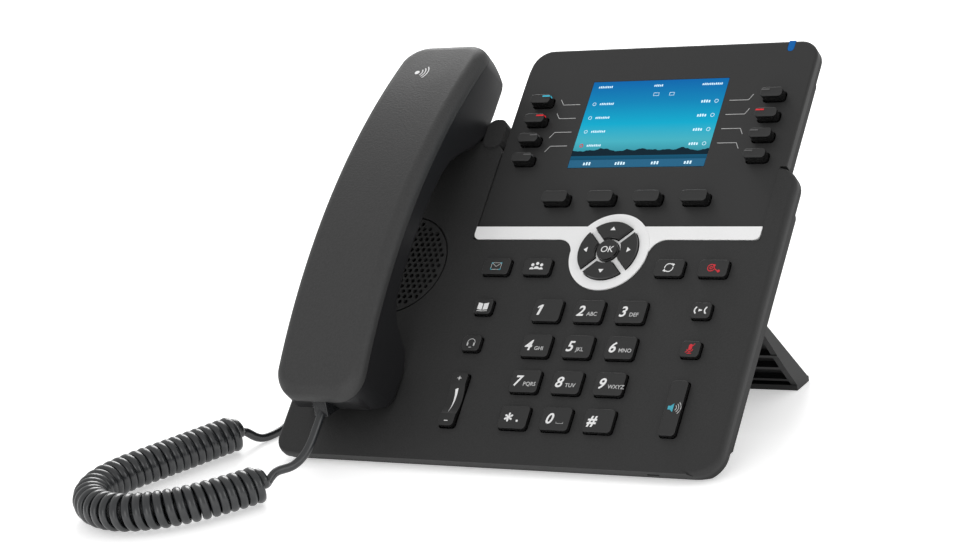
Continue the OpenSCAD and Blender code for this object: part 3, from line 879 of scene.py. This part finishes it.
@dataclass
class Keypad:
    """Every rectangular key, with its legend or light pipe.

    Lengths are in millimetres.
    """

    flange: float = 1.2
    corner: float = 1.8
    edge: float = 0.4
    dish: float = 0.12
    sign_scale: float = 1.2
    pipe_end: float = 5.5
    pipe_long: float = 4.1
    pipe_gap: float = 0.3
    pipe_foot: float = 0.9
    pipe_head: float = 1.6
    pipe_proud: float = 0.04
    caps: dict[tuple[float, float, float], Object] = field(default_factory=dict)

    def cap(self, width: float, height: float, depth: float) -> Object:
        """Models a key round the origin, its top at n = 0.

        Args:
            width: Across the face.
            height: Up the face.
            depth: Out of the face.

        Returns:
            A key for copying.
        """
        piece = block((-width / 2, -height / 2, -depth), (width / 2, height / 2, 0), "key")
        corner = min(self.corner, height / 2 - 0.6)
        with editing(piece, Element.EDGES, lambda a, b: abs(a.z - b.z) > depth / 2):
            bpy.ops.mesh.bevel(offset=corner, segments=5, affect="EDGES")
        with editing(piece, Element.EDGES, lambda a, b: min(a.z, b.z) > -0.01):
            bpy.ops.mesh.bevel(offset=self.edge, segments=3, affect="EDGES")
        with editing(piece, Element.FACES, lambda centre, normal: normal.z > 0.99):
            bpy.ops.mesh.inset(thickness=0.7)
            bpy.ops.transform.translate(value=(0, 0, -self.dish))
        with editing(piece, Element.FACES, lambda centre, normal: normal.z < -0.99):
            bpy.ops.mesh.extrude_region_move(TRANSFORM_OT_translate={"value": (0, 0, -0.01)})
        # the walls get the near-black finish: painted shade for the sides that turn from the light
        dressed(piece, KEY_TOP, BLACK_GLOSS_AND_WALL_SHADE)
        smooth(piece)
        return piece

    def key(self, node: str) -> tuple[float, float, float]:
        """Places a key where its node is.

        Args:
            node: The key's node, which is its body too.

        Returns:
            The middle of its top, on the face.
        """
        low, high = face_box(node)
        size = (round(high.x - low.x - 2 * self.flange, 2), round(high.y - low.y - 2 * self.flange, 2),
                round(high.z - low.z, 2))
        if size not in self.caps:
            self.caps[size] = self.cap(*size)
        first = self.caps[size]
        piece = first.copy()
        piece.data = first.data.copy()
        bpy.context.scene.collection.objects.link(piece)
        middle = ((low.x + high.x) / 2, (low.y + high.y) / 2, high.z)
        place(piece, *middle)
        deliver(piece, node.replace("_key", "") + "_keycap", node, (), [node])
        return middle

    def light_pipe(self, node: str, middle: tuple[float, float, float]) -> None:
        """Adds the light pipe at a line key's inner end, folded over its wall.

        Args:
            node: The key's node, which is its body too.
            middle: The middle of the key's top, on the face.
        """
        number = int(node[-1])
        lit = {1: LED_CYAN, 2: LED_RED} if "left" in node else {1: LED_DARK, 2: LED_RED}
        inward = 1 if "left" in node else -1
        end = self.pipe_end * inward
        tip = end - self.pipe_gap * inward
        across = sorted((tip - self.pipe_long * inward, tip))
        top = block((across[0], self.pipe_foot, -0.3), (across[1], self.pipe_head, 0.03))
        across = sorted((end, end + self.pipe_proud * inward))
        fold = block((across[0], self.pipe_foot, -1.9), (across[1], self.pipe_head, -0.35))
        pipe = joined([top, fold])
        pipe.data.materials.append(lit.get(number, LED_DARK).material())
        place(pipe, *middle)
        deliver(pipe, node + "_light_pipe", node, ())

    def build(self) -> None:
        """Builds every key."""
        legends = dial_legends() | function_legends()
        for node in (n for n in frame["nodes"] if "_key" in n and not n.startswith(("nav", "ok"))):
            middle = self.key(node)
            if node in legends:
                legend = joined([mark.build() for mark in legends[node]])
                if not node.startswith("dial"):
                    legend.data.transform(Matrix.Diagonal((self.sign_scale, self.sign_scale, 1, 1)))
                place(legend, middle[0], middle[1], middle[2] - self.dish + 0.06)
                deliver(legend, node.replace("_key", "") + "_legend", node, ())
            if node.startswith("line"):
                self.light_pipe(node, middle)
        for cap in self.caps.values():
            bpy.data.objects.remove(cap)


@dataclass
class Navigation:
    """The white trim, the direction keys, the OK key and the volume rocker."""

    sign_radius: float = 11.3
    scoop_radius: float = 20
    scoop_height: float = 18.4

    def shell(self, node: str, edge: float) -> Object:
        """Copies a key and rounds its edges.

        Args:
            node: The key's node.
            edge: How far its edges are rounded.

        Returns:
            The key, dressed, in millimetres on the face.
        """
        piece = cad_copy(node)
        rounded_all(piece, edge, 3)
        # the walls get the near-black finish: painted shade for the sides that turn from the light
        dressed(piece, KEY_TOP, BLACK_GLOSS_AND_WALL_SHADE)
        smooth(piece)
        return piece

    def directions(self) -> None:
        """Builds the four direction keys and their arrowheads."""
        low, high = face_box("ok_key")
        centre = ((low.x + high.x) / 2, (low.y + high.y) / 2)
        for i, side in enumerate(("right", "up", "left", "down")):
            node = f"nav_key_{side}"
            piece = self.shell(node, 0.45)
            top = face_box(node)[1].z
            deliver(place(piece), f"nav_{side}_keycap", node, (), [node])
            sign = Print(WHITE_INK, (((-0.8, -1.35), (1.1, 0), (-0.8, 1.35)),)).build()
            sign.data.transform(Matrix.Rotation(math.radians(90 * i), 4, "Z") @ Matrix.Translation(
                (self.sign_radius, 0, 0)))
            deliver(place(sign, *centre, top + 0.05), f"nav_{side}_legend", node, ())
        piece = self.shell("ok_key", 0.7)
        deliver(place(piece), "ok_keycap", "ok_key", (), ["ok_key"])
        word = Word(WHITE_INK, "OK", 4.6, -3.25, -1.6, 0.0, 0.12).build()
        deliver(place(word, *centre, high.z + 0.05), "ok_legend", "ok_key", ())

    def rocker(self) -> None:
        """Builds the volume rocker and its signs, which lie in its scoop."""
        piece = self.shell("volume_rocker", 0.4)
        low, high = face_box("volume_rocker")
        middle = ((low.x + high.x) / 2, (low.y + high.y) / 2)
        deliver(place(piece), "volume_keycap", "volume_rocker", (), ["volume_rocker"])
        wedge = tuple([(-0.75, 5.4), (0.75, 6.0), (0.65, 3.0), (0.4, 0.0), (0.05, -3.0), (-0.6, -6.4),
                       (-0.35, -3.0), (-0.35, 0.0), (-0.5, 3.0)])
        signs = joined([
            Print(WHITE_INK, (((-1, 10.9), (1, 10.9)), ((0, 9.9), (0, 11.9)),
                              ((-1, -11.2), (1, -11.2))), 0.36).build(),
            Print(WHITE_INK, (wedge,)).build()])
        only(signs)
        bpy.ops.object.mode_set(mode="EDIT")
        bpy.ops.mesh.select_all(action="SELECT")
        bpy.ops.mesh.subdivide(number_cuts=3)
        bpy.ops.object.mode_set(mode="OBJECT")
        for vertex in signs.data.vertices:
            reach = self.scoop_radius**2 - vertex.co.y**2
            vertex.co.z += min(0.0, self.scoop_height - math.sqrt(max(reach, 0)))
        deliver(place(signs, *middle, high.z + 0.05), "volume_legend", "volume_rocker", ())

    def build(self) -> None:
        """Builds the trim and the keys in it."""
        trim = cad_copy("nav_trim")
        rounded_all(trim, 0.25, 2)
        smooth(trim)
        deliver(place(trim), "trim_bar", "base", [TRIM], ["nav_trim"])
        self.directions()
        self.rocker()


@dataclass
class Covers:
    """The two front covers, the rear cover and the speaker's grille."""

    lip: float = 2.6
    display_lip: float = 1.3
    crisp: float = 0.3
    corner: float = 12
    display_corner: float = 10.5
    near: float = 0.1
    shoulder: float = 157.4
    cradle: float = 174
    window: float = 112
    window_right: float = 107.6
    grille: Point = (-82.5, 103.2)
    grille_radius: float = 27.4
    hole: float = 1.12
    pitch: float = 3.35

    def on_rim(self, a: Vector, b: Vector, low: Point, high: Point, corner: float) -> bool:
        """Whether the edge from a to b lies on a rounded rectangle."""
        return max(abs(rim_gap(p, low, high, corner)) for p in (a, b)) < self.near

    def base_width(self, a: Vector, b: Vector) -> float:
        """Decides how far an edge of the base's front cover is rounded.

        Args:
            a: One end of the edge.
            b: Its other end.

        Returns:
            The width, 0 where it stays sharp.
        """
        low, high = face_box("base_front_cover")
        screen = face_box("display_front_cover")[0].x
        middle = (a + b) / 2
        by_grille = math.dist(middle[:2], self.grille) < self.grille_radius + 1
        if by_grille or max(abs(a.z), abs(b.z)) > 0.02:
            return 0.0
        right = self.on_rim(a, b, low[:2], (high.x, self.shoulder), self.corner)
        left = self.on_rim(a, b, low[:2], (screen - 0.2, self.cradle), self.corner - 3)
        inner = middle.y > self.window and screen - 1 < middle.x < self.window_right
        return self.lip if (right or left) and not (inner or self.hidden(middle, screen)) else 0.0

    def hidden(self, spot: Vector, screen: float) -> bool:
        """Whether a spot on the base cover's rim lies behind the horns, where it stays crisp."""
        return spot.x < screen and spot.y > self.shoulder

    def display_width(self, a: Vector, b: Vector) -> float:
        """Decides how far an edge of the display's front cover is rounded.

        Args:
            a: One end of the edge.
            b: Its other end.

        Returns:
            The width, 0 where it stays sharp.
        """
        low, high = face_box("display_front_cover")
        middle = (a + b) / 2
        slot = face_box("indicator_light")
        by_light = slot[0].x - 1 < middle.x < slot[1].x + 1 and middle.y > slot[0].y - 1
        if by_light or min(a.z, b.z) < high.z - 0.05:
            return 0.0
        outside = self.on_rim(a, b, low[:2], high[:2], self.display_corner)
        return self.display_lip if outside and middle.y > self.shoulder else self.crisp

    def base(self) -> None:
        """Builds the base's front cover, open where the grille goes."""
        piece = cad_copy("base_front_cover")
        bpy.ops.object.select_all(action="DESELECT")
        bpy.ops.mesh.primitive_cylinder_add(vertices=96, radius=self.grille_radius, depth=30,
                                            location=(*self.grille, 0))
        cutter = bpy.context.object
        apply_modifier(piece, "BOOLEAN", object=cutter, operation="DIFFERENCE", solver="EXACT")
        bpy.data.objects.remove(cutter)
        rounded_edges(piece, self.base_width, self.lip, 4)
        smooth(piece, 40)
        deliver(place(piece), "base_cover", "base", [COVER], ["base_front_cover"])
        self.grille_plate()

    def grille_plate(self) -> None:
        """Builds the speaker's grille: staggered round holes inside a narrow groove."""
        holes = []
        rows = int(self.grille_radius / self.pitch) + 2
        for j in range(-rows, rows + 1):
            for i in range(-rows, rows + 1):
                spot = (self.pitch * (i + 0.5 * (j % 2)), self.pitch * j * math.sqrt(3) / 2)
                if math.hypot(*spot) < self.grille_radius - 3:
                    holes.append(tuple(arc(spot, self.hole, 0, 330, 11)))
        plate = flat_curve([tuple(arc((0, 0), self.grille_radius - 0.9, 0, 357, 119)), *holes], 2.0)
        ring = flat_curve([tuple(arc((0, 0), self.grille_radius, 0, 357, 119)),
                           tuple(arc((0, 0), self.grille_radius - 1.5, 0, 357, 119))], 1.0)
        ring.data.transform(Matrix.Translation((0, 0, -0.7)))
        piece = joined([plate, ring])
        deliver(place(piece, *self.grille, -1.02), "speaker_grille", "base", [COVER], ())

    def build(self) -> None:
        """Builds the covers."""
        self.base()
        piece = cad_copy("display_front_cover")
        rounded_edges(piece, self.display_width, self.display_lip, 3)
        smooth(piece, 40)
        deliver(place(piece), "display_cover", "base", [DISPLAY], ["display_front_cover"])
        piece = cad_copy("rear_cover")
        rounded_all(piece, 0.35, 2)
        smooth(piece, 40)
        deliver(place(piece), "back_cover", "base", [REAR], ["rear_cover"])
        piece = cad_copy("indicator_light")
        rounded_all(piece, 0.3, 2)
        smooth(piece)
        deliver(place(piece), "message_light", "base", [BLUE_LENS], ["indicator_light"])


@dataclass
class Screen:
    """The lit picture, the marks on it and the lines that lead from it to the line keys."""

    width: float = 73
    height: float = 49.4
    row_pitch: float = 7.95
    first_row: float = 11.8

    def word(self, x: float, y: float, letters: int, tall: float = 1.15) -> list[tuple[Point, ...]]:
        """Lays out a row of small blocks that stand for letters.

        Args:
            x: The row's left end, from the screen's middle.
            y: The row's middle height.
            letters: How many blocks there are.
            tall: Their height.

        Returns:
            The blocks' outlines.
        """
        step = tall * 0.86
        shapes = []
        for i in range(letters):
            left, top = x + i * step, y + tall * (0.5 if i % 3 else 0.36)
            right, foot = left + step * 0.62, y - tall / 2
            shapes.append(((left, foot), (right, foot), (right, top), (left, top)))
        return shapes

    def rows(self) -> list[Print]:
        """Lays out the list rows at both sides, the top row and the labels in the footer.

        Returns:
            The white blocks, the white lines and the red icon.
        """
        white, lines, red = [], [], []
        for i in range(4):
            y = self.first_row - i * self.row_pitch
            icon = red if i == 3 else lines
            icon.append(tuple(arc((-32.6, y), 0.85, 0, 360, 10)))
            lines.append(tuple(arc((33.2, y), 0.95, 0, 360, 10)))
            white += self.word(-29.6, y, 8) + self.word(25.2, y, 4, 1.5)
        white += self.word(-33, 21.6, 8) + self.word(-2.6, 21.6, 5) + self.word(23.2, 21.6, 11)
        lines += [((-1.6, 17.4), (1.2, 17.4), (1.2, 15.8), (-1.6, 15.8), (-1.6, 17.4)),
                  ((7.0, 17.4), (9.4, 17.4), (9.4, 15.8), (7.0, 15.8), (7.0, 17.4))]
        for x, letters in ((-28.4, 3), (-11.2, 4), (8.2, 3), (25.6, 3)):
            white += self.word(x, -22.4, letters, 1.7)
        return [Print(PIXEL_WHITE, tuple(white), 0, 0.04), Print(PIXEL_WHITE, tuple(lines), 0.28, 0.05),
                Print(PIXEL_RED, tuple(red), 0.5, 0.05)]

    def leaders(self) -> Print:
        """Lays out the lines from the screen's rows to the line keys, each with a kink.

        Returns:
            The printed lines.
        """
        lines = []
        for i in range(4):
            y, kink = self.first_row - i * self.row_pitch, 3.1 if i < 2 else -3.2
            lines += [((-40.5, y), (-49.8, y), (-52.0, y + kink)), ((40.0, y), (49.9, y), (51.7, y + kink))]
        return Print(GREY_INK, tuple(lines), 0.34, 0.1)

    def build(self) -> None:
        """Builds the picture and the marks."""
        low, high = face_box("lcd_module")
        middle = ((low.x + high.x) / 2, (low.y + high.y) / 2)
        bpy.ops.object.select_all(action="DESELECT")
        bpy.ops.mesh.primitive_plane_add(size=1)
        picture = bpy.context.object
        picture.data.transform(Matrix.Diagonal((self.width, self.height, 1, 1)))
        with editing(picture, Element.FACES, lambda centre, normal: True):
            bpy.ops.mesh.subdivide(number_cuts=1)
        apply_modifier(picture, "SOLIDIFY", thickness=0.08, offset=0)
        deliver(place(picture, *middle, high.z + 0.05), "screen_picture", "base", [PICTURE], ())
        footer = ((-36.4, -24.6), (36.4, -24.6), (36.4, -20.3), (-36.4, -20.3))
        bar = Print(PIXEL_BAR, (footer,), 0, 0.02).build()
        marks = joined([bar, *(p.build() for p in self.rows())])
        deliver(place(marks, *middle, high.z + 0.12), "screen_marks", "base", (), ())
        lines = self.leaders().build()
        surface = face_box("display_front_cover")[1].z
        deliver(place(lines, *middle, surface), "leader_lines", "base", ())


@dataclass
class Handset:
    """The handset's two shells and the sound mark on its back."""

    crown: float = 5.6
    under: float = 2.0
    plan_corner: float = 13
    depth: float = 9
    back_radius: float = 345
    back_middle: Point = (98, 42)
    mark: Point = (-88.5, 197)

    def on_back(self, v: float, n: float) -> bool:
        """Whether a point lies on the long curve of the back."""
        centre = self.back_middle[1] - self.back_radius
        return abs(math.hypot(v - self.back_middle[0], n - centre) - self.back_radius) < 0.15

    def top_width(self, a: Vector, b: Vector) -> float:
        """How far the top shell's edge from a to b is rounded."""
        return self.crown if self.on_back(a.y, a.z) and self.on_back(b.y, b.z) else 0.25

    def under_width(self, a: Vector, b: Vector) -> float:
        """Decides how far an edge of the handset's lower shell is rounded.

        Args:
            a: One end of the edge.
            b: Its other end.

        Returns:
            The width, 0 where it stays sharp.
        """
        low, high = face_box("handset_bottom_shell")
        rim = max(abs(rim_gap(p, low[:2], high[:2], self.plan_corner)) for p in (a, b)) < 0.1
        lowered = max(self.back_height(p.y) - p.z for p in (a, b)) > self.depth
        return self.under if rim and lowered and abs(a.z - b.z) < abs(a.y - b.y) + abs(a.x - b.x) else 0.0

    def back_height(self, v: float) -> float:
        """Height of the back above the face at v."""
        reach = math.sqrt(self.back_radius**2 - (v - self.back_middle[0]) ** 2)
        return self.back_middle[1] - self.back_radius + reach

    def build(self) -> None:
        """Builds the handset."""
        piece = cad_copy("handset_top_shell")
        rounded_edges(piece, self.top_width, self.crown, 8)
        smooth(piece, 40)
        deliver(place(piece), "handset_back", "handset", [HANDSET_TOP], ["handset_top_shell"])
        piece = cad_copy("handset_bottom_shell")
        rounded_edges(piece, self.under_width, self.under, 4)
        smooth(piece, 45)
        # the lower shell's far darker finish is painted shade
        deliver(place(piece), "handset_front", "handset", [HANDSET_LOW_SATIN_AND_SHADE], ["handset_bottom_shell"])
        waves = [tuple(arc((0, 0), r, -42, 42, 8)) for r in (3.0, 4.6, 6.2)]
        dot = Print(WHITE_INK, (disc((0, 0), 1.3),))
        mark = joined([Print(WHITE_INK, tuple(waves), 0.65).build(), dot.build()])
        v = self.mark[1]
        past = v - self.back_middle[0]
        slope = math.atan2(-past, math.sqrt(self.back_radius**2 - past**2))
        mark.data.transform(Matrix.Rotation(slope, 4, "X"))
        deliver(place(mark, *self.mark, self.back_height(v) + 0.05), "sound_mark", "handset", ())


@dataclass
class Underside:
    """The stand, the feet, the board with its sockets and what stays as the CAD has it."""

    board_depth: float = 2.05
    kept: dict[str, Finish] = field(default_factory=lambda: {
        "lcd_module": BLACK_GLOSS_AND_WALL_SHADE, "speaker_driver": CONE, "key_mat": SILICONE, "screws": ZINC,
        "hook_plunger": KEY_TOP, "handset_capsules": CONE})

    def build(self) -> None:
        """Builds the stand and feet, and dresses the kept nodes."""
        for node, name, body, finish, edge, slot in (
                ("desk_stand", "stand_leg", "desk_stand", STAND, 0.4, "stand_plastic"),
                ("rubber_feet", "foot_pads", "base", RUBBER, 0.3, "rubber")):
            piece = cad_copy(node)
            rounded_all(piece, edge, 2)
            smooth(piece)
            deliver(place(piece), name, body, [finish], [node])
        board = cad_copy("main_board")
        rounded_all(board, 0.2, 2)
        top = face_box("main_board")[1].z
        board.data.materials.append(LAMINATE.material())
        board.data.materials.append(BLACK_GLOSS_AND_WALL_SHADE.material())
        for polygon in board.data.polygons:
            polygon.material_index = 0 if polygon.center.z > top - self.board_depth else 1
        smooth(board)
        deliver(place(board), "circuit_board", "base", (), ["main_board"])
        for node, finish in self.kept.items():
            piece = frame["nodes"][node]
            if not piece.material_slots:
                piece.data.materials.append(finish.material())
            for slot in piece.material_slots:
                slot.link = "OBJECT"
                slot.material = finish.material()


def main() -> None:
    """Builds the telephone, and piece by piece."""
    studio = Studio()
    studio.camera()
    CurlyCord().build()
    studio.build()
    for part in (Covers(), Screen(), Keypad(), Navigation(), Handset(), Underside()):
        part.build()


if __name__ == "__main__":
    logging.basicConfig(level=logging.INFO, format="%(message)s")
    main()
